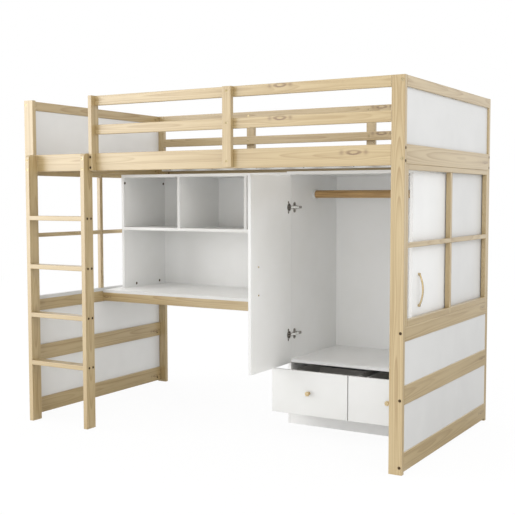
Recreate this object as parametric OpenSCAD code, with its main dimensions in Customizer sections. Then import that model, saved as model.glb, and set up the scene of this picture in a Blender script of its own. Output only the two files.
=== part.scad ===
// Loft bed in pine with a desk, an open hutch and a two-door wardrobe below the mattress.
// Millimetres, +Z up. Modules are written from the front left foot, X to the right along the
// bed and Y towards its back; centred() then puts the origin at the bottom centre.

/* [Bed] */
// Length over the end frames
length = 1980; // [1960:1:2080]
// Depth over the corner posts
depth = 1068; // [1040:1:1120]
// Height of the corner posts
height = 1552; // [1540:1:1640]

/* [Timber] */
// Thickness of the pine boards
stock = 22; // [20:1:24]
// Width of a corner post
post_w = 57; // [50:1:64]
// Height of the wide end rails
rail_h = 77; // [70:1:80]
// Height of the side rails
side_rail_h = 81; // [75:1:84]
// Height of a guard rail
guard_h = 44; // [38:1:50]
// Rounding of the long edges
edge_r = 2.5; // [1:0.5:4]

/* [Levels] */
// Underside of the bottom end rails
bottom_rail_z = 10; // [8:1:20]
// Underside of the second end rails
lower_rail_z = 275; // [270:1:290]
// Underside of the middle end rails
middle_rail_z = 524; // [520:1:530]
// Underside of the side rails
side_rail_z = 1208; // [1207:1:1212]
// Underside of the middle guard rails
middle_guard_z = 1375; // [1360:1:1390]

/* [Ladder] */
// Distance from the end of the bed to the ladder
ladder_x = 60; // [58:1:70]
// Width over the stiles
ladder_w = 366.5; // [340:0.5:368]
// Depth of a stile
stile_d = 58; // [54:1:60]
// Number of rungs
rungs = 4; // [4:1:4]
// Top of the lowest rung
first_rung_z = 298; // [280:1:310]
// Distance between rungs
rung_pitch = 233; // [220:1:240]

/* [Slats] */
// Number of slats
slats = 12; // [10:1:14]
// Width of a slat
slat_w = 65; // [55:1:75]
// Thickness of a slat
slat_t = 12; // [10:1:14]

/* [Desk] */
// Top of the desk
desk_z = 588.5; // [588:0.5:590]
// Front edge of the desk
desk_y = 535; // [534:1:545]
// Front edge of the hutch
hutch_y = 660; // [640:5:700]
// Height of the hutch shelf's underside
shelf_z = 908; // [890:1:920]
// Distance from the end of the bed to the hutch
hutch_x = 57; // [57:1:70]
// Clear width of the left cubby
left_cubby_w = 359; // [340:1:370]
// Clear width of the middle cubby
middle_cubby_w = 398; // [340:1:400]

/* [Wardrobe] */
// Left side of the wardrobe
wardrobe_x = 1174; // [1170:1:1176]
// Width of the wardrobe
wardrobe_w = 781; // [770:1:782]
// Front edge of the wardrobe's sides
wardrobe_y = 533; // [530:1:536]
// Back edge of the wardrobe's sides
wardrobe_back = 1036; // [1030:1:1040]
// Thickness of the white boards
board_t = 15; // [14:1:16]
// Top of the wardrobe and the hutch
cabinet_z = 1207; // [1205:1:1207]
// Top of the wardrobe's floor
floor_z = 312; // [310:1:314]
// Top of the plinth
plinth_z = 88; // [80:1:88]
// Diameter of the clothes rod
rod_d = 38; // [28:1:42]

/* [Doors and drawers] */
// Width of a drawer front
front_w = 388; // [380:1:388]
// How far a closed door laps over the front edge of its side panel
door_lap = 3; // [2:0.5:4]
// Gap behind the closed doors and drawer fronts
front_gap = 2; // [1.5:0.5:3]
// How far the left door stands open, in degrees
left_open = 89; // [0:1:95]
// How far the right door stands open, in degrees
right_open = 90; // [0:1:90]
// How far the drawers stand out
drawer_out = 138; // [0:1:300]
// Distance between the feet of a door handle
handle_c = 128; // [96:32:128]

/* [Hidden] */
$fn = 32;

pine = "wheat";
white = "whitesmoke";
brass = "goldenrod";
steel = "silver";
dark = "dimgray";

// End frames
top_rail_z = height - guard_h;
bed_end_z = side_rail_z + 5;
middle_rail_h = 57;
// heights of the bolts that hold the end rails
end_bolt_z = [bottom_rail_z + 19, lower_rail_z + 20, middle_rail_z + 35, bed_end_z + 21, top_rail_z + 24];
panel_t = 9;          // thickness of the white end panels
panel_recess = 3;     // depth of the lower panels behind the outer face
upper_recess = 9;     // depth of the upper panel behind the outer face
tongue = 6;           // how far a panel reaches into the rails' grooves
seam = 0.2;           // play where two members of one frame meet
strip = 22;           // width of the window's strips
muntin_h = 20;        // height of the window's crossbar
muntin_z = 889;       // underside of the crossbar
sill_t = 17;          // height of the white sill under the left window
sill_over = 2;        // how far the sill stands proud inside
foot_t = 26;          // height of the strip under the right window
// Guard rails
board_w = 44;         // width of the boards that join the front rails
stub_d = 27;          // how far the stub post stands forward
stub_x = ladder_x + ladder_w + 1.5;
front_board_x = 1162;
back_board_w = 48;
back_boards = [608, 1331];
back_out = depth + stock;
// Slats
ledger_h = 20;
ledger_z = 1235;
slat_end = 40;        // space between an end frame and its first slat
// Ladder
ladder_top = side_rail_z + side_rail_h - 2;
rung_h = 22;
rung_inset = 1;       // how far a rung stops short of the side rail's plane
stile_r = 20;         // rounding of a stile's top corner
// Desk
desk_t = board_t;
trim_h = 46;          // height of the rail under the desk's front edge
desk_back = 1040;
// Cabinets
wall = board_t;
back_t = 5;           // thickness of the thin back panels
groove = 5;           // depth of the grooves that hold them
slack = 0.2;          // play of a panel in its groove
wardrobe_r = wardrobe_x + wardrobe_w;
wardrobe_mid = wardrobe_x + wardrobe_w / 2;
wardrobe_panel_y = 1015;
hutch_panel_y = 1030;
rod_y = 772;
rod_z = 1101;
socket_t = 10;
// Doors
front_y = wardrobe_y - front_gap - board_t;
door_x = wardrobe_x + wall - door_lap;
door_w = wardrobe_mid - door_x - 1.5;
door_z = floor_z - board_t - 2.5;
door_top = cabinet_z - board_t - 6;
pivot_in = 2;         // distance of a door's axis from its edge
pivot_back = 1.5;     // distance of the axis from the door's inner face
cup_in = wall - door_lap + 22.5; // distance of a hinge cup from the side panel's outer face
cup_d = 35;
cup_depth = 12;
hinge_z = [432, 1038];
handle_z = 646;
handle_in = 66;       // distance of the handle from the door's free edge
handle_rise = 20;     // height of the bow's middle over the door
handle_base = 5;      // height of the bow's ends
handle_d = 8;
foot_d = 11;
// Drawers
drawer_z = plinth_z;
drawer_h = 203.5;
partition = board_t;
partition_h = 152;    // the board between the drawers, which carries their inner runners
runner = 12.5;        // width of a pair of runners
bay_w = (wardrobe_w - 2 * wall - partition) / 2;
box_w = bay_w - 2 * runner;
box_d = 400;
box_z = 108;
box_h = 154;
box_back_h = 130;     // the back board is lower than the sides
box_t = 12;
angle_t = 1.2;        // thickness of the runners' steel
roller_d = 14;
// Fasteners
shank_d = 6;
bore_d = 7;
head_d = 12;
head_t = 5;
sink_d = 13;
sink_t = 5.5;
nut_d = 10;
nut_in = 34;          // distance of a barrel nut from the end of its rail
bolt_rows = [17, 67]; // heights of a side rail's bolts above its underside
cam_d = 15;
cams = [[671, 1162], [1018, 1162], [765, 607], [975, 607]];

module centred() translate([-length / 2, -(back_out - stile_d) / 2, 0]) children();
module board(at, size) translate(at) cube(size);
module profile(a, b, r) {
    translate([r, 0]) square([a - 2 * r, b]);
    translate([0, r]) square([a, b - 2 * r]);
    for (x = [r, a - r], y = [r, b - r]) translate([x, y]) circle(r);
}
// Boards whose long edges, along X, Y or Z, are rounded
module plank_x(at, size, r = edge_r)
    translate(at) rotate([90, 0, 90]) linear_extrude(size[0]) profile(size[1], size[2], r);
module plank_y(at, size, r = edge_r)
    translate(at + [0, size[1], 0]) rotate([90, 0, 0]) linear_extrude(size[1]) profile(size[0], size[2], r);
module plank_z(at, size, r = edge_r)
    translate(at) linear_extrude(size[2]) profile(size[0], size[1], r);
// Copies one end frame, or the other with its outer face at the right end
module at_end(right) {
    if (right) translate([length, 0, 0]) mirror([1, 0, 0]) children();
    else children();
}
module at_back(back) {
    if (back) translate([0, depth, 0]) mirror([0, 1, 0]) children();
    else children();
}

// A bolt, and the bore for it, whose head lies flush at the origin and whose shank runs along +Z
module bolt(reach) {
    difference() {
        union() {
            translate([0, 0, 0.5]) cylinder(d = head_d, h = head_t - 0.5);
            translate([0, 0, head_t]) cylinder(d = shank_d, h = reach - head_t);
        }
        cylinder(d = 5, h = 3.5, $fn = 6);
    }
}
module bolt_bore(reach) {
    translate([0, 0, -1]) cylinder(d = sink_d, h = sink_t + 1);
    cylinder(d = bore_d, h = reach + 1);
}
// A barrel nut lies across its bolt, from the face at y = 0 inwards
module nut(at, length) {
    translate(at) rotate([-90, 0, 0]) difference() {
        translate([0, 0, 0.5]) cylinder(d = nut_d, h = length - 1);
        cylinder(d = 6, h = 2, $fn = 6);
        translate([0, 0, stock / 2]) rotate([0, 90, 0]) cylinder(d = bore_d, h = 30, center = true);
    }
}
module nut_bore(at, length)
    translate(at) rotate([-90, 0, 0]) translate([0, 0, -1]) cylinder(d = nut_d + 0.4, h = length + 1);

// Places of the bolts: through a post into an end rail, and through a post into a side rail
module end_bolts_at(levels) for (i = levels) translate([stock / 2, 0, end_bolt_z[i]])
    rotate([-90, 0, 0]) children();
module side_bolts_at() for (row = bolt_rows) translate([0, stock / 2, side_rail_z + row])
    rotate([0, 90, 0]) children();
end_reach = stock + nut_in + 8;
side_reach = post_w + nut_in + 8;

module post(right, back) color(pine) at_end(right) at_back(back) difference() {
    plank_z([0, 0, 0], [post_w, stock, height]);
    end_bolts_at([0, 1, 2, 3, 4]) bolt_bore(end_reach);
    side_bolts_at() bolt_bore(side_reach);
}

// A rail of an end frame, with the grooves of the panels above and below it
module end_rail(i, z, h, grooves) difference() {
    plank_y([0, stock, z], [stock, depth - 2 * stock, h]);
    for (back = [false, true]) at_back(back) {
        end_bolts_at([i]) bolt_bore(end_reach);
        translate([stock, stock + nut_in, end_bolt_z[i]]) rotate([0, 0, 90])
            nut_bore([0, 0, 0], stock - 5);
    }
    for (g = grooves) board([g[0], stock - 1, g[1]], [panel_t + slack, depth, tongue + slack]);
}
function groove_over(z) = z - tongue - slack;
module lower_rails(right) color(pine) at_end(right) {
    end_rail(0, bottom_rail_z, rail_h, [[panel_recess, groove_over(bottom_rail_z + rail_h)]]);
    end_rail(1, lower_rail_z, rail_h,
        [[panel_recess, lower_rail_z], [panel_recess, groove_over(lower_rail_z + rail_h)]]);
}
module middle_rail(right) color(pine) at_end(right)
    end_rail(2, middle_rail_z, middle_rail_h, [[panel_recess, middle_rail_z]]);
module bed_end_rail(right) color(pine) at_end(right)
    end_rail(3, bed_end_z, rail_h, [[upper_recess, groove_over(bed_end_z + rail_h)]]);
module top_rail(right) color(pine) at_end(right)
    end_rail(4, top_rail_z, guard_h, [[upper_recess, top_rail_z]]);

module end_panel(recess, z0, z1) board([recess + slack / 2, stock, z0 - tongue],
    [panel_t, depth - 2 * stock, z1 - z0 + 2 * tongue]);
module end_panels(right) color(white) at_end(right) {
    end_panel(panel_recess, bottom_rail_z + rail_h, lower_rail_z);
    end_panel(panel_recess, lower_rail_z + rail_h, middle_rail_z);
    end_panel(upper_recess, bed_end_z + rail_h, top_rail_z);
}

// The open window of an end frame: two stiles, a head, and two muntins halved into each other.
// The left one stands on a white sill, the right one on a wooden foot of its own
window_z = middle_rail_z + middle_rail_h;
window_top = bed_end_z - strip;
pane_y = stock + strip + seam;
module window_frame(right) color(pine) at_end(right) {
    foot = right ? window_z : window_z + sill_t;
    light = right ? window_z + foot_t : window_z + sill_t;
    for (back = [false, true]) at_back(back) plank_z([0, stock, foot], [stock, strip, bed_end_z - foot]);
    plank_y([0, pane_y, window_top], [stock, depth - 2 * pane_y, strip]);
    if (right) plank_y([0, pane_y, foot], [stock, depth - 2 * pane_y, foot_t]);
    difference() {
        plank_z([0, (depth - strip) / 2, light + seam], [stock, strip, window_top - light - 2 * seam]);
        board([-1, 0, muntin_z - seam], [stock / 2 + 1, depth, muntin_h + 2 * seam]);
    }
    difference() {
        plank_y([0, pane_y, muntin_z], [stock, depth - 2 * pane_y, muntin_h]);
        board([stock / 2 - seam, (depth - strip) / 2 - seam, muntin_z - 1],
            [stock, strip + 2 * seam, muntin_h + 2]);
    }
}
module window_sill() color(white)
    board([0, stock, window_z], [stock + sill_over, depth - 2 * stock, sill_t]);

module side_rail(back) color(pine) difference() {
    at_back(back) difference() {
        plank_x([post_w, 0, side_rail_z], [length - 2 * post_w, stock, side_rail_h]);
        for (right = [false, true]) at_end(right) {
            side_bolts_at() bolt_bore(side_reach);
            for (row = bolt_rows) translate([post_w + nut_in, stock + 1, side_rail_z + row])
                rotate([90, 0, 0]) cylinder(d = nut_d + 0.4, h = stock - 4);
        }
    }
    board_bores(back);
    if (!back) {
        for (x = stile_xs) stile_bolts_at(x) bolt_bore(stile_d + 14);
        stub_bolts_at() bolt_bore(stub_d + 16);
    }
}

module slat_ledgers() color(pine) for (back = [false, true]) at_back(back)
    plank_x([post_w, stock, ledger_z], [length - 2 * post_w, stock, ledger_h], 1.5);
slat_pitch = (length - 2 * (stock + slat_end) - slat_w) / (slats - 1);
module slat_boards() color(pine) for (i = [0 : slats - 1])
    plank_y([stock + slat_end + i * slat_pitch, stock + 1, ledger_z + ledger_h],
        [slat_w, depth - 2 * stock - 2, slat_t], 2);

guard_zs = [middle_guard_z, top_rail_z];
module guard_rails(back) color(pine) difference() {
    x0 = back ? post_w : stub_x + stock;
    at_back(back) for (z = guard_zs) plank_x([x0, 0, z], [length - post_w - x0, stock, guard_h]);
    board_bores(back);
}
module board_bores(back) {
    if (back) back_board_bolts_at() bolt_bore(stock + 14);
    else front_board_bolts_at() bolt_bore(stock + 14);
}
// The post where the front guard rails end beside the ladder, halved over the side rail
module guard_stub_post() color(pine) difference() {
    plank_z([stub_x, -stub_d, side_rail_z], [stock, stub_d + stock, height - side_rail_z]);
    board([stub_x - 1, 0, side_rail_z - 1], [stock + 2, stock + 1, side_rail_h + 1]);
    stub_bolts_at() bolt_bore(stub_d + 16);
}
stub_rows = [14, 62];
module stub_bolts_at() for (row = stub_rows)
    translate([stub_x + stock / 2, -stub_d, side_rail_z + row]) rotate([-90, 0, 0]) children();
// Boards that join the guard rails to the side rail, in front and at the back
module guard_board_front() color(pine) difference() {
    plank_z([front_board_x, -stock, side_rail_z + 5], [board_w, stock, height - side_rail_z - 6]);
    front_board_bolts_at() bolt_bore(stock + 14);
}
module front_board_bolts_at() for (z = [side_rail_z + 29, middle_guard_z + guard_h / 2, height - guard_h / 2])
    translate([front_board_x + board_w / 2, -stock, z]) rotate([-90, 0, 0]) children();
module guard_boards_back() color(pine) difference() {
    for (x = back_boards)
        plank_z([x, depth, side_rail_z + 5], [back_board_w, stock, height - side_rail_z - 6]);
    back_board_bolts_at() bolt_bore(stock + 14);
}
module back_board_bolts_at() for (x = back_boards,
    z = [side_rail_z + side_rail_h - 14, middle_guard_z + guard_h / 2, height - guard_h / 2])
    translate([x + back_board_w / 2, depth - stock, z]) rotate([-90, 0, 0]) children();

// Ladder: its stiles stand in front of the side rail and are bolted to it
stile_xs = [ladder_x, ladder_x + ladder_w - stock];
rung_tops = [for (i = [0 : rungs - 1]) first_rung_z + i * rung_pitch];
ladder_rows = [8, 54];
module ladder_stile(x, outer) color(pine) difference() {
    translate([x, 0, 0]) rotate([90, 0, 90]) linear_extrude(stock) union() {
        translate([-stile_d, 0]) square([stile_d, ladder_top - stile_r]);
        translate([-stile_d + stile_r, 0]) square([stile_d - stile_r, ladder_top]);
        translate([-stile_d + stile_r, ladder_top - stile_r]) circle(stile_r);
    }
    stile_bolts_at(x) bolt_bore(stile_d + 14);
    rung_bolts_at(x, outer) bolt_bore(stock + 40);
}
module stile_bolts_at(x) for (row = ladder_rows)
    translate([x + stock / 2, -stile_d, side_rail_z + row]) rotate([-90, 0, 0]) children();
module rung_bolts_at(x, outer) for (z = rung_tops, y = [-38, -12])
    translate([outer < 0 ? x : x + stock, y, z - rung_h / 2]) rotate([0, -90 * outer, 0]) children();
module ladder_rungs() color(pine) for (z = rung_tops) difference() {
    plank_x([ladder_x + stock, -stile_d, z - rung_h],
        [ladder_w - 2 * stock, stile_d - rung_inset, rung_h], 3);
    rung_bolts_at(stile_xs[0], -1) bolt_bore(stock + 40);
    rung_bolts_at(stile_xs[1], 1) bolt_bore(stock + 40);
}

// Desk: a white top on a front rail, a back rail and a cleat at each end
desk_under = desk_z - desk_t;
cleat_h = 30;
module desktop() color(white) board([stock + sill_over, desk_y, desk_under],
    [wardrobe_x - stock - sill_over, desk_back - desk_y, desk_t]);
module desk_front_rail() color(pine) plank_x([stock, desk_y, desk_under - trim_h],
    [wardrobe_x - stock, stock, trim_h]);
module desk_supports() color(pine) {
    plank_x([stock, desk_back - stock, desk_under - trim_h], [wardrobe_x - stock, stock, trim_h]);
    for (x = [stock, wardrobe_x - stock]) plank_y([x, desk_y + stock + seam, desk_under - cleat_h],
        [stock, desk_back - desk_y - 2 * (stock + seam), cleat_h]);
}

// Hutch: a left side, and a shelf and a top that run to the wardrobe with two dividers between them
hutch_top_z = cabinet_z - board_t;
divider_xs = [hutch_x + wall + left_cubby_w, hutch_x + 2 * wall + left_cubby_w + middle_cubby_w];
module back_groove(x, y, z0, z1, width)
    board([x, y - slack / 2, z0], [width, back_t + slack, z1 - z0]);
module hutch_uprights() color(white) {
    difference() {
        board([hutch_x, hutch_y, desk_z], [wall, desk_back - hutch_y, hutch_top_z - desk_z]);
        back_groove(hutch_x + wall - groove - slack, hutch_panel_y, desk_z - 1, hutch_top_z + 1, groove + 1);
        for (c = cams) translate([hutch_x + wall - 11, c[0], c[1]]) rotate([0, 90, 0])
            cylinder(d = cam_d, h = 12);
    }
    for (x = divider_xs) board([x, hutch_y, shelf_z + board_t],
        [wall, hutch_panel_y - hutch_y - slack, hutch_top_z - shelf_z - board_t]);
}
module hutch_top() color(white)
    board([hutch_x, hutch_y, hutch_top_z], [wardrobe_x - hutch_x, desk_back - hutch_y, board_t]);
module hutch_shelf() color(white) board([hutch_x + wall, hutch_y, shelf_z],
    [wardrobe_x - hutch_x - wall, hutch_panel_y - hutch_y - slack, board_t]);

// Wardrobe
module wardrobe_side(right) color(white) mirrored(right) difference() {
    board([wardrobe_x, wardrobe_y, 0], [wall, wardrobe_back - wardrobe_y, hutch_top_z]);
    back_groove(wardrobe_x + wall - groove - slack, wardrobe_panel_y, plinth_z, hutch_top_z + 1, groove + 1);
}
module mirrored(right) {
    if (right) translate([2 * wardrobe_mid, 0, 0]) mirror([1, 0, 0]) children();
    else children();
}
module wardrobe_top() color(white) board([wardrobe_x, front_y, hutch_top_z],
    [wardrobe_w, wardrobe_back - front_y, board_t]);
module wardrobe_floor() color(white) board([wardrobe_x + wall, wardrobe_y, floor_z - board_t],
    [wardrobe_w - 2 * wall, wardrobe_panel_y - wardrobe_y - slack, board_t]);
module wardrobe_base() color(white) {
    board([wardrobe_x + wall, wardrobe_y, 0],
        [wardrobe_w - 2 * wall, board_t, plinth_z - board_t - seam]);
    board([wardrobe_x + wall, wardrobe_y, plinth_z - board_t],
        [wardrobe_w - 2 * wall, wardrobe_panel_y - wardrobe_y - slack, board_t]);
    board([wardrobe_mid - partition / 2, wardrobe_y, plinth_z + seam],
        [partition, wardrobe_panel_y - wardrobe_y - slack, partition_h]);
}
module back_panels() color(white) {
    board([wardrobe_x + wall - groove, wardrobe_panel_y, plinth_z],
        [wardrobe_w - 2 * wall + 2 * groove, back_t, hutch_top_z - plinth_z]);
    board([hutch_x + wall - groove, hutch_panel_y, desk_z],
        [wardrobe_x - hutch_x - wall + groove, back_t, hutch_top_z - desk_z]);
}
module clothes_rod() color(pine) translate([wardrobe_x + wall + 1, rod_y, rod_z])
    rotate([0, 90, 0]) cylinder(d = rod_d, h = wardrobe_w - 2 * wall - 2);
module rod_sockets() color(white) for (right = [false, true]) mirrored(right)
    translate([wardrobe_x + wall, rod_y, rod_z]) rotate([0, 90, 0]) difference() {
        cylinder(d = rod_d + 14, h = socket_t);
        translate([0, 0, 1]) cylinder(d = rod_d + 0.6, h = socket_t);
        translate([0, 0, -1]) cylinder(d = 4, h = 4);
    }

// A flat bar with round ends between two points of a plane
module bar(p, q, d) translate(p) rotate(atan2(q.y - p.y, q.x - p.x)) polygon(concat(
    [for (a = [90 : 15 : 270]) d / 2 * [cos(a), sin(a)]],
    [for (a = [-90 : 15 : 90]) [norm(q - p), 0] + d / 2 * [cos(a), sin(a)]]));
module bar_z(p, q, d, h) translate([0, 0, -h / 2]) linear_extrude(h) bar(p, q, d);

// Concealed hinge, drawn about the closed door's corner: x from the side panel's outer face,
// y from the door's inner face, z from the hinge's centre
module hinge_frame(z) translate([wardrobe_x, front_y + board_t, z]) children();
arm_w = 12;
tongue_w = 9;
wing_zs = [-15, 15];
module hinge_arm() {
    // plate with two wings, screwed to the side panel
    difference() {
        union() {
            board([wall, 15, -9], [2.5, 40, 18]);
            for (z = wing_zs) translate([wall, 32, z]) rotate([0, 90, 0]) cylinder(d = 20, h = 2.5);
        }
        for (z = wing_zs) translate([wall - 1, 32, z]) rotate([0, 90, 0]) cylinder(d = 5, h = 5);
    }
    for (z = wing_zs) translate([wall + 1, 32, z]) rotate([0, 90, 0]) difference() {
        cylinder(d = 8, h = 3.5);
        translate([0, 0, 2]) cylinder(d = 4, h = 3, $fn = 6);
        translate([0, 0, -1]) cylinder(d = 5, h = 2);
    }
    // arm, its adjusting screws, and the tongue that folds into the cup
    difference() {
        union() {
            board([wall + 2.5, 18, -arm_w / 2], [9, 66, arm_w]);
            bar_z([wall + 6.5, 22], [wall + 7.5, 13], 6, arm_w);
            bar_z([wall + 7.8, 13], [wall + 7.8, -7.5], 4.5, tongue_w);
        }
        for (y = [30, 70]) translate([wall + 8, y, 0]) rotate([0, 90, 0]) cylinder(d = 6, h = 5);
        board([wall + 1.5, 56, -arm_w / 2 + 1.5], [8.5, 40, arm_w - 3]);
    }
}
module hinge_arms() color(steel) for (right = [false, true], z = hinge_z)
    mirrored(right) hinge_frame(z) hinge_arm();
module hinge_cup() {
    difference() {
        union() {
            translate([cup_in, 0, 0]) rotate([90, 0, 0]) cylinder(d = cup_d - 0.4, h = cup_depth);
            translate([0, 1.2, 0]) rotate([90, 0, 0]) linear_extrude(1.2)
                bar([cup_in + 6, -24], [cup_in + 6, 24], 11);
            translate([cup_in, 1.2, 0]) rotate([90, 0, 0]) cylinder(d = cup_d + 3, h = 1.2);
        }
        translate([cup_in, 2, 0]) rotate([90, 0, 0]) cylinder(d = cup_d - 4, h = cup_depth + 0.8);
    }
    for (z = [-24, 24]) translate([cup_in + 6, 1.2, z]) rotate([-90, 0, 0]) difference() {
        cylinder(d = 7, h = 1.6);
        translate([0, 0, 0.8]) cylinder(d = 3.5, h = 2, $fn = 6);
    }
    // two links that swing out of the cup on either side of the tongue
    for (s = [-1, 1]) translate([0, 0, s * 6]) {
        bar_z([cup_in - 4.5, -6.5], [cup_in - 14.5, 7.3], 5.5, 2);
        bar_z([cup_in - 4.5, -6.5], [cup_in + 9, -7], 4, 2);
        translate([cup_in - 14.5, 7.3, s * 1.5]) cylinder(d = 4.5, h = 1.2, center = true);
    }
    translate([cup_in + 9, -7, -13]) cylinder(d = 3, h = 26);
}

module swung(open) translate([door_x + pivot_in, front_y + board_t - pivot_back, 0])
    rotate([0, 0, -open]) translate([-door_x - pivot_in, pivot_back - front_y - board_t, 0]) children();
handle_x = door_x + door_w - handle_in;
handle_zs = [handle_z, handle_z + handle_c];
module door() color(white) difference() {
    plank_z([door_x, front_y, door_z], [door_w, board_t, door_top - door_z], 1.5);
    for (z = hinge_z) hinge_frame(z) translate([cup_in, 1, 0]) rotate([90, 0, 0])
        cylinder(d = cup_d, h = cup_depth + 1.4);
    for (z = handle_zs) translate([handle_x, front_y - 1, z]) rotate([-90, 0, 0])
        cylinder(d = 5, h = board_t + 2);
}
module door_handle() color(brass) {
    rise = handle_rise - handle_base;
    bow_r = (pow(handle_c / 2, 2) + pow(rise, 2)) / (2 * rise);
    bow_a = asin(handle_c / 2 / bow_r);
    translate([handle_x, front_y, handle_z + handle_c / 2]) {
        translate([0, bow_r - handle_rise, 0]) rotate([0, 90, 0]) rotate([0, 0, -90 - bow_a])
            rotate_extrude(angle = 2 * bow_a, $fn = 96) translate([bow_r, 0]) circle(d = handle_d, $fn = 24);
        for (z = [-handle_c / 2, handle_c / 2]) translate([0, 0, z]) rotate([90, 0, 0]) {
            cylinder(d = foot_d, h = 9);
            translate([0, 0, -board_t - 1]) cylinder(d = 4, h = board_t + 2);
            translate([0, 0, -board_t - 2.5]) cylinder(d = 8, h = 2.5);
        }
    }
}
module cups() color(steel) for (z = hinge_z) hinge_frame(z) hinge_cup();

// Drawers, drawn closed in the left bay
module slid(right) translate([right ? bay_w + partition : 0, -drawer_out, 0]) children();
front_x = [wardrobe_x, wardrobe_r - front_w];
knob_x = wardrobe_x + front_w / 2;
knob_z = 192;
module drawer_front(right) color(white) difference() {
    plank_x([front_x[right ? 1 : 0], front_y - drawer_out, drawer_z], [front_w, board_t, drawer_h], 1.5);
    knob_at(right) translate([0, 0, -board_t - 1]) cylinder(d = 5, h = board_t + 2);
}
module knob_at(right) translate([right ? 2 * wardrobe_mid - knob_x : knob_x, front_y - drawer_out, knob_z])
    rotate([90, 0, 0]) children();
module drawer_knob(right) color(brass) knob_at(right) {
    rotate_extrude() union() {
        square([5, 12]);
        square([7.5, 1.5]);
        translate([0, 12]) square([8.5, 9]);
        translate([8.5, 16.5]) circle(2.5);
        translate([0, 14]) square([11, 5]);
    }
    translate([0, 0, -board_t]) cylinder(d = 4, h = board_t);
}
box_x = wardrobe_x + wall + runner;
box_y = front_y + board_t;
module drawer_box(right) color(white) slid(right) {
    for (x = [box_x, box_x + box_w - box_t]) difference() {
        board([x, box_y, box_z], [box_t, box_d, box_h]);
        board([x == box_x ? x + box_t - 4.2 : x - 1, box_y - 1, box_z + 8], [5.2, box_d + 2, 4.2]);
    }
    for (y = [box_y, box_y + box_d - box_t]) difference() {
        board([box_x + box_t + seam, y, box_z],
            [box_w - 2 * (box_t + seam), box_t, y == box_y ? box_h : box_back_h]);
        board([box_x, y == box_y ? y + box_t - 4.2 : y - 1, box_z + 8], [box_w, 5.2, 4.2]);
    }
    board([box_x + box_t - 4, box_y + box_t - 4, box_z + 8.1],
        [box_w - 2 * box_t + 8, box_d - 2 * box_t + 8, 4]);
    // the moving halves of the runners: angles under the box's sides, each with its roller
    for (s = [0, 1]) translate([s == 0 ? box_x : box_x + box_w, box_y, box_z]) mirror([s, 0, 0]) {
        board([-angle_t - seam, 0, -angle_t - seam], [angle_t, box_d, 24]);
        board([-angle_t - seam, 0, -angle_t - seam], [box_t + 2, box_d, angle_t]);
        translate([-6.2, box_d - 14, 8]) rotate([0, 90, 0]) cylinder(d = roller_d, h = 5);
    }
}
// The fixed halves: channels on the bays' walls, with the roller at the front
module drawer_runners() color(white) for (right = [false, true], s = [0, 1])
    translate([right ? bay_w + partition : 0, 0, 0])
    translate([s == 0 ? wardrobe_x + wall : wardrobe_x + wall + bay_w, wardrobe_y + 3, box_z])
    mirror([s, 0, 0]) {
        board([0, 0, -17], [angle_t, box_d - 4, 39]);
        for (z = [-3, 17]) board([0, 40, z], [10, box_d - 44, angle_t]);
        translate([0, 18, -2 - roller_d / 2]) rotate([0, 90, 0]) cylinder(d = roller_d, h = 16);
    }

// Every bolt and nut, at the places that the bores use
module all_ends() for (right = [false, true]) at_end(right)
    for (back = [false, true]) at_back(back) children();
module end_nuts(levels) for (i = levels)
    translate([stock, stock + nut_in, end_bolt_z[i]]) rotate([0, 0, 90]) nut([0, 0, 0], stock - 5);
module brass_bolts() color(brass) {
    all_ends() {
        end_bolts_at([3, 4]) bolt(end_reach);
        end_nuts([3, 4]);
    }
    for (x = stile_xs) stile_bolts_at(x) bolt(stile_d + 14);
    front_board_bolts_at() bolt(stock + 14);
    back_board_bolts_at() bolt(stock + 14);
}
module dark_bolts() color(dark) {
    all_ends() {
        end_bolts_at([0, 1, 2]) bolt(end_reach);
        end_nuts([0, 1, 2]);
        side_bolts_at() bolt(side_reach);
        for (row = bolt_rows) translate([post_w + nut_in, stock, side_rail_z + row])
            rotate([0, 0, 180]) nut([0, 0, 0], stock - 5);
    }
    stub_bolts_at() bolt(stub_d + 16);
    rung_bolts_at(stile_xs[0], -1) bolt(stock + 40);
    rung_bolts_at(stile_xs[1], 1) bolt(stock + 40);
    for (c = cams) translate([hutch_x + wall - 10.5, c[0], c[1]]) rotate([0, 90, 0]) difference() {
        cylinder(d = cam_d - 0.5, h = 10);
        translate([0, 0, 8]) cylinder(d = 5, h = 3, $fn = 6);
    }
}

centred() post(false, false);  // post_front_left
centred() post(true, false);  // post_front_right
centred() post(false, true);  // post_back_left
centred() post(true, true);  // post_back_right
centred() lower_rails(false);  // lower_rails_left
centred() middle_rail(false);  // middle_rail_left
centred() bed_end_rail(false);  // bed_end_rail_left
centred() top_rail(false);  // top_rail_left
centred() lower_rails(true);  // lower_rails_right
centred() middle_rail(true);  // middle_rail_right
centred() bed_end_rail(true);  // bed_end_rail_right
centred() top_rail(true);  // top_rail_right
centred() end_panels(false);  // end_panels_left
centred() end_panels(true);  // end_panels_right
centred() window_frame(false);  // window_frame_left
centred() window_frame(true);  // window_frame_right
centred() window_sill();
centred() side_rail(false);  // side_rail_front
centred() side_rail(true);  // side_rail_back
centred() slat_ledgers();
centred() slat_boards();
centred() guard_rails(false);  // guard_rails_front
centred() guard_rails(true);  // guard_rails_back
centred() guard_stub_post();
centred() guard_board_front();
centred() guard_boards_back();
centred() ladder_stile(stile_xs[0], -1);  // ladder_stile_left
centred() ladder_stile(stile_xs[1], 1);  // ladder_stile_right
centred() ladder_rungs();
centred() desktop();
centred() desk_front_rail();
centred() desk_supports();
centred() hutch_uprights();
centred() hutch_top();
centred() hutch_shelf();
centred() wardrobe_side(false);  // wardrobe_side_left
centred() wardrobe_side(true);  // wardrobe_side_right
centred() wardrobe_top();
centred() wardrobe_floor();
centred() wardrobe_base();
centred() back_panels();
centred() clothes_rod();
centred() rod_sockets();
centred() hinge_arms();
centred() drawer_runners();
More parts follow.
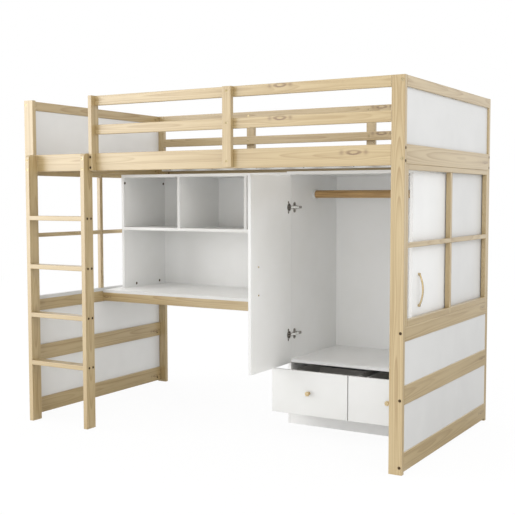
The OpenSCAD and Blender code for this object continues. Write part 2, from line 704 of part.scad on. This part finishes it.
centred() swung(left_open) door();  // left_door
centred() swung(left_open) door_handle();  // left_door_handle
centred() swung(left_open) cups();  // left_door_cups
centred() mirrored(true) swung(right_open) door();  // right_door
centred() mirrored(true) swung(right_open) door_handle();  // right_door_handle
centred() mirrored(true) swung(right_open) cups();  // right_door_cups
centred() drawer_front(false);  // left_drawer_front
centred() drawer_box(false);  // left_drawer_box
centred() drawer_knob(false);  // left_drawer_knob
centred() drawer_front(true);  // right_drawer_front
centred() drawer_box(true);  // right_drawer_box
centred() drawer_knob(true);  // right_drawer_knob
centred() brass_bolts();
centred() dark_bolts();
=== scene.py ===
import math
import bpy
import bmesh
from mathutils import Matrix, Vector


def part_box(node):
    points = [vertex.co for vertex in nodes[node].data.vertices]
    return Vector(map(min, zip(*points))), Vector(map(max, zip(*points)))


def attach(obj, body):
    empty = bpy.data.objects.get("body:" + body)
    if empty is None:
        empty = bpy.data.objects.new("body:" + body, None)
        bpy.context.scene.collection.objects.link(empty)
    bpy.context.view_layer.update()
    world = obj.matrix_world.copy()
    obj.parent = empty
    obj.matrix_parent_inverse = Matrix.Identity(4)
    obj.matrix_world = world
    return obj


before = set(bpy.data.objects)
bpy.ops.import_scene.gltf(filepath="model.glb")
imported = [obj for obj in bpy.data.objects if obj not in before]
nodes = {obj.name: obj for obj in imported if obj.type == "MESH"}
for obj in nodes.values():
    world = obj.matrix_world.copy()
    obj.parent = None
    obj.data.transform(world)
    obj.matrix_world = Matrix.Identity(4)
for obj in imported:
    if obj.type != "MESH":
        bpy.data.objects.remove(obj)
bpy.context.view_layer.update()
print("frame loaded,", len(nodes), "nodes")


def linear(colour):  # a hex colour as linear values
    parts = [int(colour[i:i + 2], 16) / 255 for i in (0, 2, 4)]
    return [c / 12.92 if c < 0.04045 else ((c + 0.055) / 1.055) ** 2.4 for c in parts] + [1.0]


class Field:  # a socket that takes part in Python expressions
    def __init__(self, graph, socket):
        self.graph, self.socket = graph, socket

    def math(self, operation, *others):
        return self.graph.node("ShaderNodeMath", {"operation": operation}, [self, *others])

    def __add__(self, other):
        return self.math("ADD", other)

    def __radd__(self, other):
        return self.math("ADD", other)

    def __sub__(self, other):
        return self.math("SUBTRACT", other)

    def __rsub__(self, other):
        return (-self).math("ADD", other)

    def __mul__(self, other):
        return self.math("MULTIPLY", other)

    def __rmul__(self, other):
        return self.math("MULTIPLY", other)

    def __truediv__(self, other):
        return self.math("DIVIDE", other)

    def __pow__(self, other):
        return self.math("POWER", other)

    def __neg__(self):
        return self.math("MULTIPLY", -1.0)


class Graph:  # the node tree of a material or of the world
    def __init__(self, owner):
        owner.use_nodes = True
        self.owner, self.tree = owner, owner.node_tree
        self.tree.nodes.clear()

    def node(self, kind, settings=None, inputs=None, output=0):  # settings come before the sockets
        made = self.tree.nodes.new(kind)
        for key, value in (settings or {}).items():
            setattr(made, key, value)
        pairs = inputs.items() if isinstance(inputs, dict) else enumerate(inputs or [])
        for key, value in pairs:
            if isinstance(value, Field):
                self.tree.links.new(value.socket, made.inputs[key])
            else:
                made.inputs[key].default_value = value
        return Field(self, made.outputs[output]) if made.outputs else None

    def place(self, location=(0, 0, 0), scale=(1, 1, 1)):  # a spot on the piece, moved and stretched
        spot = self.node("ShaderNodeTexCoord", None, None, "Object")
        return self.node("ShaderNodeMapping", None, {"Vector": spot, "Location": location, "Scale": scale})

    def axes(self, place):
        split = self.node("ShaderNodeSeparateXYZ", None, [place]).socket.node
        return [Field(self, output) for output in split.outputs]

    def ray(self, kind):  # 1 for rays of that kind
        return self.node("ShaderNodeLightPath", None, None, "Is " + kind + " Ray")

    def vector(self, x, y, z):
        return self.node("ShaderNodeCombineXYZ", None, [x, y, z])

    def noise(self, place, scale=1.0, detail=2.0, roughness=0.5):
        return self.node("ShaderNodeTexNoise", {"noise_dimensions": "3D"}, {
            "Vector": place, "Scale": scale, "Detail": detail, "Roughness": roughness})

    def mix(self, factor, first, second):
        settings = {"data_type": "RGBA", "blend_type": "MIX"}
        return self.node("ShaderNodeMix", settings, {0: factor, 6: first, 7: second}, 2)

    def step(self, value, low, high):  # smooth step from 0 at low to 1 at high
        return self.node("ShaderNodeMapRange", {"interpolation_type": "SMOOTHSTEP"}, {
            "Value": value, "From Min": low, "From Max": high, "To Min": 0.0, "To Max": 1.0})

    def bell(self, x, y):  # 1 at the middle, falling softly all round
        return (-(x * x + y * y)).math("EXPONENT")

    def finish(self, colour, roughness, height, bump, **shader):
        inputs = {"Base Color": colour, "Roughness": roughness}
        inputs.update({key.replace("_", " "): value for key, value in shader.items()})
        inputs["Normal"] = self.node("ShaderNodeBump", None, {
            "Strength": bump["strength"], "Distance": bump["distance"], "Height": height})
        surface = self.node("ShaderNodeBsdfPrincipled", None, inputs)
        self.node("ShaderNodeOutputMaterial", None, [surface])
        return self.owner


def newMaterial(name):
    return Graph(bpy.data.materials.new(name))


def dress(name, material):  # gives a piece from the frame its one material
    slots = nodes[name].data.materials
    if len(slots) == 0:
        slots.append(material)
    for i in range(len(slots)):
        slots[i] = material


def middle(name):
    low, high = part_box(name)
    return [(a + b) / 2 for a, b in zip(low, high)]


pine = {
    "early": linear("B7A277"), "late": linear("88692F"), "heart": linear("A58E60"),
    "ring": 0.0040,        # distance between growth rings
    "pith": 0.046,         # depth of the tree's centre below a board's middle
    "aside": 0.006,        # distance of that centre to one side
    "wander": 0.036,       # how far the centre drifts sideways along a board
    "sink": 0.05,          # how far it drifts in depth
    "uneven": 0.0045,      # waviness of the rings
    "lateRise": 2.4,       # how late in a ring the dark wood begins
    "lateFall": (0.88, 1.0),
    "lateShare": (0.3, 0.85),     # least and added darkness of the rings from place to place
    "heartFrom": (0.3, 0.75), "heartShare": 0.5,
    "streakFrom": (0.48, 0.75), "streakShare": 0.42,
    "presenceFrom": (0.25, 0.7), "ringShare": 0.85, "fibreShare": 0.4,
    "nextBoard": 0.437,    # how far the pattern shifts from one board of a row to the next
    "roughness": 0.36, "lateRough": 0.07, "fibreRough": 0.16,
    "fibreHeight": 0.6, "lateHeight": 0.35,
    "bump": {"distance": 0.0006, "strength": 0.22},
    "coat": {"Coat_Weight": 0.8, "Coat_Roughness": 0.36, "Coat_IOR": 1.85},
}
pineNoise = {  # scale along the grain and across it, detail, roughness
    "waver": (2.2, 16, 3.0, 0.55), "presence": (1.5, 24, 2.0, 0.5), "fibre": (9, 620, 2.0, 0.65),
    "streak": (1.7, 70, 2.0, 0.6), "tone": (0.8, 5, 1.0, 0.5),
}
pineDrift = {"wander": (0.9, 0.3), "sink": (1.1, 7.7)}    # scale along the grain, level in the noise
knot = {  # lengths in sizes of the knot
    "colour": linear("63400C"), "share": 0.95,
    "flat": 0.3,           # height of its ring over its length
    "bend": 0.8, "bendReach": (2.6, 3.6),    # the grain bends round it
    "raggedScale": (90, 160), "ragged": 0.5,
    "ringFrom": (0.4, 0.85), "ringTo": (0.95, 1.5), "ringDark": 0.72, "ringLean": 0.25,
    "tail": 1.95, "tailReach": (0.34, 1.2), "tailDark": 0.55,    # the smudges on either side
}


def pineMaterial(name, grain, centre, knots=(), repeat=None, turnAt=None, seed=0.0):
    graph = newMaterial("pine_" + name)
    axes = graph.axes(graph.place([-c for c in centre]))
    along, across, thick = (axes[i] for i in grain)
    if turnAt:  # the grain turns through a right angle where turnAt says
        turned = turnAt(graph, axes)
        along, across = along + (across - along) * turned, across + (along - across) * turned
    mark = along
    if repeat:  # several boards side by side, each with its own stretch of the pattern
        axis, pitch = repeat
        number = (axes[axis] / pitch).math("ROUND")
        if grain[1] == axis:
            across = across - number * pitch
        else:
            thick = thick - number * pitch
        along = along + number * pine["nextBoard"]

    def grainNoise(key, seedAxis=None):  # noise drawn out along the grain
        slow, fast, detail, roughness = pineNoise[key]
        spot = [along * slow, across * fast, thick * fast]
        if seedAxis is not None:
            spot[seedAxis] = spot[seedAxis] + seed
        return graph.noise(graph.vector(*spot), 1.0, detail, roughness)

    def drift(key):  # slow noise that changes only along the grain
        slow, level = pineDrift[key]
        return (graph.noise(graph.vector(along * slow, seed, level), 1.0, 1.0) - 0.5) * pine[key]

    shifted, marks = across, None
    for knotAlong, knotAcross, size in knots:
        du = (mark - knotAlong) / size
        dv = (across - knotAcross) / (size * knot["flat"])
        near = graph.bell(du / knot["bendReach"][0], dv / knot["bendReach"][1])
        shifted = shifted - (across - knotAcross) * near * knot["bend"]
        torn = graph.vector(mark * knot["raggedScale"][0], across * knot["raggedScale"][1], seed)
        ragged = (graph.noise(torn) - 0.5) * knot["ragged"]
        reach = (du * du + dv * dv).math("SQRT") + ragged
        ring = graph.step(reach, *knot["ringFrom"]) * (1 - graph.step(reach, *knot["ringTo"]))
        ring = ring * (knot["ringDark"] - dv * knot["ringLean"])
        beside = (du.math("ABSOLUTE") - knot["tail"]) / knot["tailReach"][0]
        tail = graph.bell(beside, dv / knot["tailReach"][1] + ragged) * knot["tailDark"]
        ring = ring.math("MAXIMUM", tail)
        marks = ring if marks is None else marks.math("MAXIMUM", ring)

    sideways = shifted - drift("wander") - pine["aside"]
    below = thick + pine["pith"] + drift("sink")
    radius = (sideways * sideways + below * below).math("SQRT")
    radius = radius + (grainNoise("waver") - 0.5) * pine["uneven"]
    phase = (radius / pine["ring"] + seed).math("FRACT")
    late = (phase ** pine["lateRise"]) * (1 - graph.step(phase, *pine["lateFall"]))
    least, added = pine["lateShare"]
    late = late * (graph.step(grainNoise("presence", 2), *pine["presenceFrom"]) * added + least)
    fibre = grainNoise("fibre") - 0.5
    tone = graph.step(grainNoise("tone", 2), *pine["heartFrom"]) * pine["heartShare"]
    streak = graph.step(grainNoise("streak", 0), *pine["streakFrom"]) * pine["streakShare"]
    colour = graph.mix(tone, pine["early"], pine["heart"])
    for share in (streak, late * pine["ringShare"], fibre.math("ABSOLUTE") * pine["fibreShare"]):
        colour = graph.mix(share, colour, pine["late"])
    if marks is not None:
        colour = graph.mix(marks * knot["share"], colour, knot["colour"])
    rough = pine["roughness"] + late * pine["lateRough"] + fibre * pine["fibreRough"]
    height = fibre * pine["fibreHeight"] - late * pine["lateHeight"]
    return graph.finish(colour, rough, height, pine["bump"], **pine["coat"])


endKnot = 0.46        # along an end rail, from its middle towards the back
pineBoards = {  # node: grain axes (along, across, through), knots (along, across, size)
    "post_front_left": [(2, 0, 1), []], "post_front_right": [(2, 0, 1), []],
    "post_back_left": [(2, 0, 1), []], "post_back_right": [(2, 0, 1), []],
    "middle_rail_left": [(1, 2, 0), [(endKnot, 0.012, 0.016)]],
    "middle_rail_right": [(1, 2, 0), [(endKnot, 0.012, 0.016)]],
    "bed_end_rail_left": [(1, 2, 0), []],
    "bed_end_rail_right": [(1, 2, 0), [(endKnot, -0.002, 0.016)]],
    "top_rail_left": [(1, 2, 0), []], "top_rail_right": [(1, 2, 0), []],
    "side_rail_front": [(0, 2, 1), [(0.775, 0.013, 0.027)]],
    "side_rail_back": [(0, 2, 1), [(-0.31, 0.01, 0.025)]],
    "guard_stub_post": [(2, 1, 0), []], "guard_board_front": [(2, 0, 1), []],
    "guard_boards_back": [(2, 0, 1), []],
    "ladder_stile_left": [(2, 1, 0), []], "ladder_stile_right": [(2, 1, 0), []],
    "desk_front_rail": [(0, 2, 1), [(-0.55, 0.0, 0.014)]],
}
boardSeed, boardSeedStep = 1.7, 0.83    # every board has its own pattern
for i, (name, (grain, knots)) in enumerate(pineBoards.items()):
    dress(name, pineMaterial(name, grain, middle(name), knots, seed=boardSeed + boardSeedStep * i))


def pitchOf(name, axis, board, count):  # spacing of equal boards in one node
    low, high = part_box(name)
    return (high[axis] - low[axis] - board) / (count - 1)


def evenCentre(name, axis, pitch, count):  # an even row's middle falls between two boards
    centre = middle(name)
    if count % 2 == 0:
        centre[axis] += pitch / 2
    return centre


slatBoard, slatCount = 0.065, 12
slatPitch = pitchOf("slat_boards", 0, slatBoard, slatCount)
pineRows = {  # node: grain axes, knots, repeated axis, board size there, count
    "lower_rails_left": [(1, 2, 0), [(endKnot, -0.008, 0.019)], 2, 0.077, 2],
    "lower_rails_right": [(1, 2, 0), [(endKnot, 0.004, 0.019)], 2, 0.077, 2],
    "guard_rails_front": [(0, 2, 1), [(0.245, 0.013, 0.025)], 2, 0.044, 2],
    "guard_rails_back": [(0, 2, 1), [(0.435, 0.012, 0.025)], 2, 0.044, 2],
    "slat_boards": [(1, 0, 2), [(0.2, 0.01, 0.016)], 0, slatBoard, slatCount],
    "ladder_rungs": [(0, 1, 2), [], 2, 0.022, 4],
}
rowSeed, rowSeedStep = 0.4, 0.71
for i, (name, (grain, knots, axis, board, count)) in enumerate(pineRows.items()):
    pitch = pitchOf(name, axis, board, count)
    centre = evenCentre(name, axis, pitch, count)
    dress(name, pineMaterial(name, grain, centre, knots, (axis, pitch), seed=rowSeed + rowSeedStep * i))

window = {
    "stilesFrom": 0.49,       # distance of the stiles' inner edges from the window's middle
    "muntinHalf": 0.0111,     # half the width of the upright muntin
    "grain": (1, 2, 0), "seed": 3.1,
}


def uprightStrips(graph, axes):  # 1 on the stiles and the upright muntin of a window
    reach = axes[1].math("ABSOLUTE")
    edge = reach.math("GREATER_THAN", window["stilesFrom"])
    return edge.math("MAXIMUM", reach.math("LESS_THAN", window["muntinHalf"]))


for name in ("window_frame_left", "window_frame_right"):
    dress(name, pineMaterial(name, window["grain"], middle(name), turnAt=uprightStrips, seed=window["seed"]))
supports = {"grain": (0, 1, 2), "seed": 5.2}
dress("desk_supports", pineMaterial("desk_supports", supports["grain"], middle("desk_supports"),
                                    seed=supports["seed"]))
print("pine done")

# Painted light and painted shade: inside, desk, door, outer, panel and front are copies of one white
# melamine, made lighter or darker board by board for how light falls on each; the shade column is a random
# mottle.
white = {  # melamine and coatings: face, shade, roughness
    "inside": [linear("F2F2F1"), linear("EEEEEC"), 0.4],
    "desk": [linear("FAFAF9"), linear("F6F6F5"), 0.4],
    "door": [linear("F6F6F5"), linear("F2F2F0"), 0.34],
    "outer": [linear("DFDFDE"), linear("DADAD9"), 0.34],
    "panel": [linear("CECECD"), linear("C9C9C8"), 0.34],
    "drawer": [linear("CCCAC6"), linear("C4C2BE"), 0.4],
    "front": [linear("DEDEDD"), linear("DADAD8"), 0.34],
    "socket": [linear("E4E4E2"), linear("DCDCDA"), 0.45],
    "runner": [linear("E2E2DF"), linear("D8D8D5"), 0.3],
}
coating = {
    "cloudScale": 3.0, "cloudDetail": 3.0, "cloudRoughness": 0.6, "cloudFrom": (0.35, 0.7),
    "cloudRough": 0.06, "grainScale": 900.0, "grainRough": 0.05,
    "bump": {"distance": 0.0002, "strength": 0.12},
}
paintedEdgeShade = {"colour": linear("D3D3D2"), "depth": (0.00072, 0.0008)}    # painted shade: a darker strip on a board's front edge


def whiteMaterial(name, face, shade, roughness, front=None):  # front: where the painted shade on the front edge begins
    graph = newMaterial(name)
    place = graph.place()
    cloud = graph.noise(place, coating["cloudScale"], coating["cloudDetail"], coating["cloudRoughness"])
    grainy = graph.noise(place, coating["grainScale"])
    colour = graph.mix(graph.step(cloud, *coating["cloudFrom"]), face, shade)
    # painted shade: the board's front edge is made darker than its face
    if front is not None:
        edgeShadeMask = 1 - graph.step(graph.axes(place)[1], *[front + depth for depth in paintedEdgeShade["depth"]])
        colour = graph.mix(edgeShadeMask, colour, paintedEdgeShade["colour"])
    rough = roughness + (cloud - 0.5) * coating["cloudRough"] + (grainy - 0.5) * coating["grainRough"]
    return graph.finish(colour, rough, grainy, coating["bump"])


# which boards take the lighter copies of the white (painted light) and which the darker ones (painted shade)
boards = {
    # painted light: the slat ledgers take the inside white so that they read as a bright line under the bed
    "inside": ["wardrobe_side_left", "back_panels", "slat_ledgers"],
    "desk": ["wardrobe_floor", "wardrobe_base"],
    "outer": ["end_panels_left", "right_door"],
    "panel": ["end_panels_right", "window_sill", "wardrobe_side_right"],
    "drawer": ["left_drawer_box", "right_drawer_box"],
    "front": ["left_drawer_front", "right_drawer_front", "wardrobe_top", "hutch_shelf", "hutch_top"],
}
edgeShadedBoards = {"desktop": "desk", "hutch_uprights": "inside", "left_door": "door"}    # with painted shade on the front edge
for kind, names in boards.items():
    melamine = whiteMaterial("melamine_" + kind, *white[kind])
    for name in names:
        dress(name, melamine)
for name, kind in edgeShadedBoards.items():
    dress(name, whiteMaterial("melamine_" + name, *white[kind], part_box(name)[0][1]))
dress("rod_sockets", whiteMaterial("socket_plastic", *white["socket"]))
dress("drawer_runners", whiteMaterial("coated_steel", *white["runner"]))
print("white boards done")

metals = {  # bright, dull, roughness, how metallic
    "satin_brass": [linear("D8C6A2"), linear("BCA67E"), 0.2, 1.0],
    "bolt_brass": [linear("CABB98"), linear("8C7C5A"), 0.3, 1.0],
    "nickel": [linear("A8A39C"), linear("8E8983"), 0.26, 1.0],
    "blackened_steel": [linear("5A4529"), linear("3A2C1A"), 0.5, 0.4],
}
metalPieces = {
    "satin_brass": ["left_door_handle", "right_door_handle", "left_drawer_knob", "right_drawer_knob"],
    "bolt_brass": ["brass_bolts"],
    "nickel": ["left_door_cups", "right_door_cups"],
    "blackened_steel": ["dark_bolts"],
}
brushing = {
    "scale": (300, 300, 2400), "rough": 0.14, "bump": {"distance": 0.0001, "strength": 0.1},
    "cloudScale": 60.0, "cloudDetail": 3.0, "cloudRoughness": 0.6, "cloudFrom": (0.3, 0.75),
}


def metalMaterial(name, bright, dull, roughness, metallic):
    graph = newMaterial(name)
    cloud = graph.noise(graph.place(), brushing["cloudScale"], brushing["cloudDetail"],
                        brushing["cloudRoughness"])
    brushed = graph.noise(graph.place(scale=brushing["scale"]))
    colour = graph.mix(graph.step(cloud, *brushing["cloudFrom"]), bright, dull)
    rough = roughness + (brushed - 0.5) * brushing["rough"]
    return graph.finish(colour, rough, brushed, brushing["bump"], Metallic=metallic)


metalFinish = {kind: metalMaterial(kind, *values) for kind, values in metals.items()}
for kind, names in metalPieces.items():
    for name in names:
        dress(name, metalFinish[kind])

hinge = {  # a painted highlight along the top of each arm, between darker wings with random wear
    "arm": linear("F8F8F6"), "wing": linear("8E8983"), "wear": linear("B9B5AE"),
    "reach": 0.025,        # from a hinge's centre to the end of its wings
    "armHalf": 0.0046,     # half the width of the painted highlight on an arm's top
    "armLength": 0.065,
    "sideBlur": 0.0004, "endBlur": 0.001,
    "roughness": 0.28, "roughRange": 0.1,
    "armDull": 0.7,        # how much less metallic the painted highlight is
    "cloudScale": 160.0, "cloudDetail": 3.0, "cloudRoughness": 0.6, "cloudFrom": (0.4, 0.7),
    "bump": {"distance": 0.0001, "strength": 0.1},
}


def hingeMaterial():
    graph = newMaterial("hinge_steel")
    low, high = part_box("hinge_arms")
    place = graph.place()
    depth, height = graph.axes(place)[1:]
    cloud = graph.noise(place, hinge["cloudScale"], hinge["cloudDetail"], hinge["cloudRoughness"])
    arms = None
    # painted highlight: a bright, less metallic band along the top of each arm
    for level in (low[2] + hinge["reach"], high[2] - hinge["reach"]):
        off = (height - level).math("ABSOLUTE")
        arm = 1 - graph.step(off, hinge["armHalf"], hinge["armHalf"] + hinge["sideBlur"])
        arms = arm if arms is None else arms.math("MAXIMUM", arm)
    armEnd = low[1] + hinge["armLength"]
    arms = arms * (1 - graph.step(depth, armEnd, armEnd + hinge["endBlur"]))
    wing = graph.mix(graph.step(cloud, *hinge["cloudFrom"]), hinge["wing"], hinge["wear"])
    rough = hinge["roughness"] + (cloud - 0.5) * hinge["roughRange"]
    return graph.finish(graph.mix(arms, wing, hinge["arm"]), rough, cloud, hinge["bump"],
                        Metallic=1 - arms * hinge["armDull"])


dress("hinge_arms", hingeMaterial())

rod = {
    "light": linear("BE9A66"), "dark": linear("98774A"),
    "strandScale": (5, 110, 110), "strandDetail": 3.0, "strandRoughness": 0.6, "strandFrom": (0.3, 0.75),
    "roughness": 0.4, "roughRange": 0.1, "bump": {"distance": 0.0005, "strength": 0.2},
}


def rodMaterial():
    graph = newMaterial("rod_wood")
    strand = graph.noise(graph.place(scale=rod["strandScale"]), 1.0, rod["strandDetail"],
                         rod["strandRoughness"])
    colour = graph.mix(graph.step(strand, *rod["strandFrom"]), rod["light"], rod["dark"])
    return graph.finish(colour, rod["roughness"] + strand * rod["roughRange"], strand, rod["bump"])


dress("clothes_rod", rodMaterial())
print("metals and rod done")

screw = {
    "radius": 0.004, "rise": 0.0004, "body": 0.0022, "recess": 0.0011,
    "cuts": (-1.0, -0.58, -0.15, 0.15, 0.58, 1.0),    # where the head's grid is cut, in radii
    "taper": 0.8,          # width of the recess at its bottom over that at its top
    "inset": 0.013,        # distance of a slat's screw from the slat's end
    "ledgerCount": 7, "ledgerInset": 0.06,
}
nail = {
    "radius": 0.0026, "rise": 0.0007, "body": 0.002, "bevel": 0.0004, "sides": 16,
    "pitch": 0.11, "inset": 0.04,
    "panelPlay": 0.0002, "panelThick": 0.005,    # of the thin back under the heads
}


def screwHead():  # a flat head with a cross recess, looking along +Z
    bm = bmesh.new()
    cells = len(screw["cuts"]) - 1
    bmesh.ops.create_grid(bm, x_segments=cells, y_segments=cells, size=1.0)
    step = 2.0 / cells
    for vert in bm.verts:
        x, y = (screw["cuts"][round((c + 1.0) / step)] for c in vert.co[:2])
        if max(abs(x), abs(y)) == 1.0:  # the rim is drawn out to a circle
            x, y = Vector((x, y)).normalized()
        vert.co = (x * screw["radius"], y * screw["radius"], screw["rise"])
    armHalf, armLength = (cut * screw["radius"] for cut in screw["cuts"][3:5])
    cross = []
    for face in bm.faces:
        near, far = sorted(abs(c) for c in face.calc_center_median()[:2])
        if near < armHalf and far < armLength:
            cross.append(face)
    sunk = bmesh.ops.extrude_face_region(bm, geom=cross)["geom"]
    bmesh.ops.delete(bm, geom=cross, context="FACES")
    floorVerts = [item for item in sunk if isinstance(item, bmesh.types.BMVert)]
    bmesh.ops.scale(bm, vec=(screw["taper"], screw["taper"], 1.0), verts=floorVerts)
    bmesh.ops.translate(bm, vec=(0, 0, -screw["recess"]), verts=floorVerts)
    rim = [edge for edge in bm.edges if edge.is_boundary]
    skirt = bmesh.ops.extrude_edge_only(bm, edges=rim)["geom"]
    bottom = [item for item in skirt if isinstance(item, bmesh.types.BMVert)]
    bmesh.ops.translate(bm, vec=(0, 0, -screw["body"]), verts=bottom)
    hole = [item for item in skirt if isinstance(item, bmesh.types.BMEdge) and item.is_boundary]
    bmesh.ops.contextual_create(bm, geom=hole)
    bmesh.ops.recalc_face_normals(bm, faces=bm.faces)
    return bm


def nailHead():
    bm = bmesh.new()
    bmesh.ops.create_cone(bm, cap_ends=True, segments=nail["sides"], radius1=nail["radius"],
                          radius2=nail["radius"], depth=nail["rise"] + nail["body"])
    bmesh.ops.translate(bm, vec=(0, 0, (nail["rise"] - nail["body"]) / 2), verts=bm.verts)
    rim = [edge for edge in bm.edges if all(vert.co.z > 0 for vert in edge.verts)]
    bmesh.ops.bevel(bm, geom=rim, offset=nail["bevel"], offset_type="OFFSET", segments=2, profile=0.5,
                    affect="EDGES", material=-1)
    return bm


def scatter(name, head, places, body, material):  # copies of one head, each at its place and facing
    mesh = bpy.data.meshes.new(name)
    bm = bmesh.new()
    for at, facing in places:
        before = len(bm.verts)
        head.to_mesh(mesh)
        bm.from_mesh(mesh)
        bm.verts.ensure_lookup_table()
        turn = Vector(facing).to_track_quat("Z", "Y").to_matrix().to_4x4()
        bmesh.ops.transform(bm, matrix=Matrix.Translation(at) @ turn, verts=bm.verts[before:])
    head.free()
    bm.to_mesh(mesh)
    bm.free()
    mesh.materials.append(material)
    piece = bpy.data.objects.new(name, mesh)
    bpy.context.scene.collection.objects.link(piece)
    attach(piece, body)


def spread(start, end, count):
    return [start + (end - start) * i / (count - 1) for i in range(count)]


slatLow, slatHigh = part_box("slat_boards")
slatPlaces = []
for i in range(slatCount):
    for y in (slatLow[1] + screw["inset"], slatHigh[1] - screw["inset"]):
        slatPlaces.append(((slatLow[0] + slatBoard / 2 + i * slatPitch, y, slatHigh[2]), (0, 0, 1)))
scatter("slat_screws", screwHead(), slatPlaces, "bed", metalFinish["nickel"])

ledgerLow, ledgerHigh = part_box("slat_ledgers")
ledgerZ = (ledgerLow[2] + ledgerHigh[2]) / 2
railLow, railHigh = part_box("side_rail_front")
railDepth = railHigh[1] - railLow[1]
ledgerEnds = ledgerLow[0] + screw["ledgerInset"], ledgerHigh[0] - screw["ledgerInset"]
ledgerPlaces = []
for x in spread(*ledgerEnds, screw["ledgerCount"]):
    for y, facing in ((ledgerLow[1] + railDepth, 1), (ledgerHigh[1] - railDepth, -1)):
        ledgerPlaces.append(((x, y, ledgerZ), (0, facing, 0)))
scatter("ledger_screws", screwHead(), ledgerPlaces, "bed", metalFinish["nickel"])

nailPlaces = []
for name in ("wardrobe_floor", "hutch_shelf"):  # the thin backs are nailed to these boards
    low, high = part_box(name)
    y, z = high[1] + nail["panelPlay"] + nail["panelThick"], (low[2] + high[2]) / 2
    count = round((high[0] - low[0]) / nail["pitch"])
    for x in spread(low[0] + nail["inset"], high[0] - nail["inset"], count):
        nailPlaces.append(((x, y, z), (0, 1, 0)))
scatter("back_nails", nailHead(), nailPlaces, "bed", metalFinish["nickel"])
print("screws and nails done")

studio = {
    "floorSize": 14.0, "floorDrop": 0.0005, "floorGlow": 0.94,
    "floorColour": linear("F2F2F1"), "floorShade": linear("989795"),
    "shadeFrom": -0.6, "shadeTo": -0.3,    # where the floor under the bed begins, along Y, and with it the painted shade in the floor's reflections
    "white": (1, 1, 1, 1), "world": 1.1,
    "key": {"at": (-6.1, -4.4, 2.5), "aim": (0.0, 0.0, 0.8), "size": 6.0, "power": 300.0},
    "front": {"at": (1.7, -5.2, 0.9), "aim": (0.0, 0.4, 0.8), "size": 2.4, "power": 26.0},
    "fill": {"at": (4.3, -2.2, 3.6), "aim": (0.0, 0.2, 0.8), "size": 1.8, "power": 34.0},
}


def floorMaterial():
    graph = newMaterial("floor")
    depth = graph.axes(graph.place())[1]
    # painted shade: in glossy rays the floor under and behind the bed turns to floorShade
    shade = graph.ray("Glossy") * graph.step(depth, studio["shadeFrom"], studio["shadeTo"])
    colour = graph.mix(shade, studio["floorColour"], studio["floorShade"])
    plain = graph.node("ShaderNodeBsdfDiffuse", None, {"Color": colour})
    glow = graph.node("ShaderNodeEmission", None, {"Color": studio["white"], "Strength": 1.0})
    share = graph.ray("Camera").math("MAXIMUM", graph.ray("Transmission")) * studio["floorGlow"]
    surface = graph.node("ShaderNodeMixShader", None, [share, plain, glow])
    graph.node("ShaderNodeOutputMaterial", None, [surface])
    return graph.owner


bm = bmesh.new()
bmesh.ops.create_grid(bm, x_segments=2, y_segments=2, size=studio["floorSize"] / 2)
bmesh.ops.translate(bm, vec=(0, 0, -studio["floorDrop"]), verts=bm.verts)
floorMesh = bpy.data.meshes.new("floor")
bm.to_mesh(floorMesh)
bm.free()
floorMesh.materials.append(floorMaterial())
floor = bpy.data.objects.new("floor", floorMesh)
bpy.context.scene.collection.objects.link(floor)

graph = Graph(bpy.data.worlds.new("studio"))
seen = graph.ray("Camera").math("MAXIMUM", graph.ray("Glossy")).math("MAXIMUM", graph.ray("Transmission"))
lit = graph.node("ShaderNodeBackground", None, {"Color": studio["white"], "Strength": studio["world"]})
plain = graph.node("ShaderNodeBackground", None, {"Color": studio["white"], "Strength": 1.0})
graph.node("ShaderNodeOutputWorld", None, [graph.node("ShaderNodeMixShader", None, [seen, lit, plain])])
bpy.context.scene.world = graph.owner


def softLight(name, at, aim, size, power):
    light = bpy.data.lights.new(name, "AREA")
    light.energy, light.size = power, size
    lamp = bpy.data.objects.new(name, light)
    lamp.location = at
    lamp.rotation_euler = (Vector(aim) - Vector(at)).to_track_quat("-Z", "Y").to_euler()
    bpy.context.scene.collection.objects.link(lamp)


for name in ("key", "front", "fill"):
    softLight(name, **studio[name])

view = {
    "at": (2.3596, -3.8628, 1.086), "tilt": 85.968, "turn": 30.185,
    "lens": 65.33, "sensor": 36.0, "shift": (-0.0317, 0.0107),
}
cameraData = bpy.data.cameras.new("camera")
cameraData.lens, cameraData.sensor_width = view["lens"], view["sensor"]
cameraData.shift_x, cameraData.shift_y = view["shift"]
eye = bpy.data.objects.new("camera", cameraData)
eye.location = view["at"]
eye.rotation_euler = (math.radians(view["tilt"]), 0, math.radians(view["turn"]))
bpy.context.scene.collection.objects.link(eye)
bpy.context.scene.camera = eye
bpy.context.scene.view_settings.view_transform = "Standard"
print("studio done")
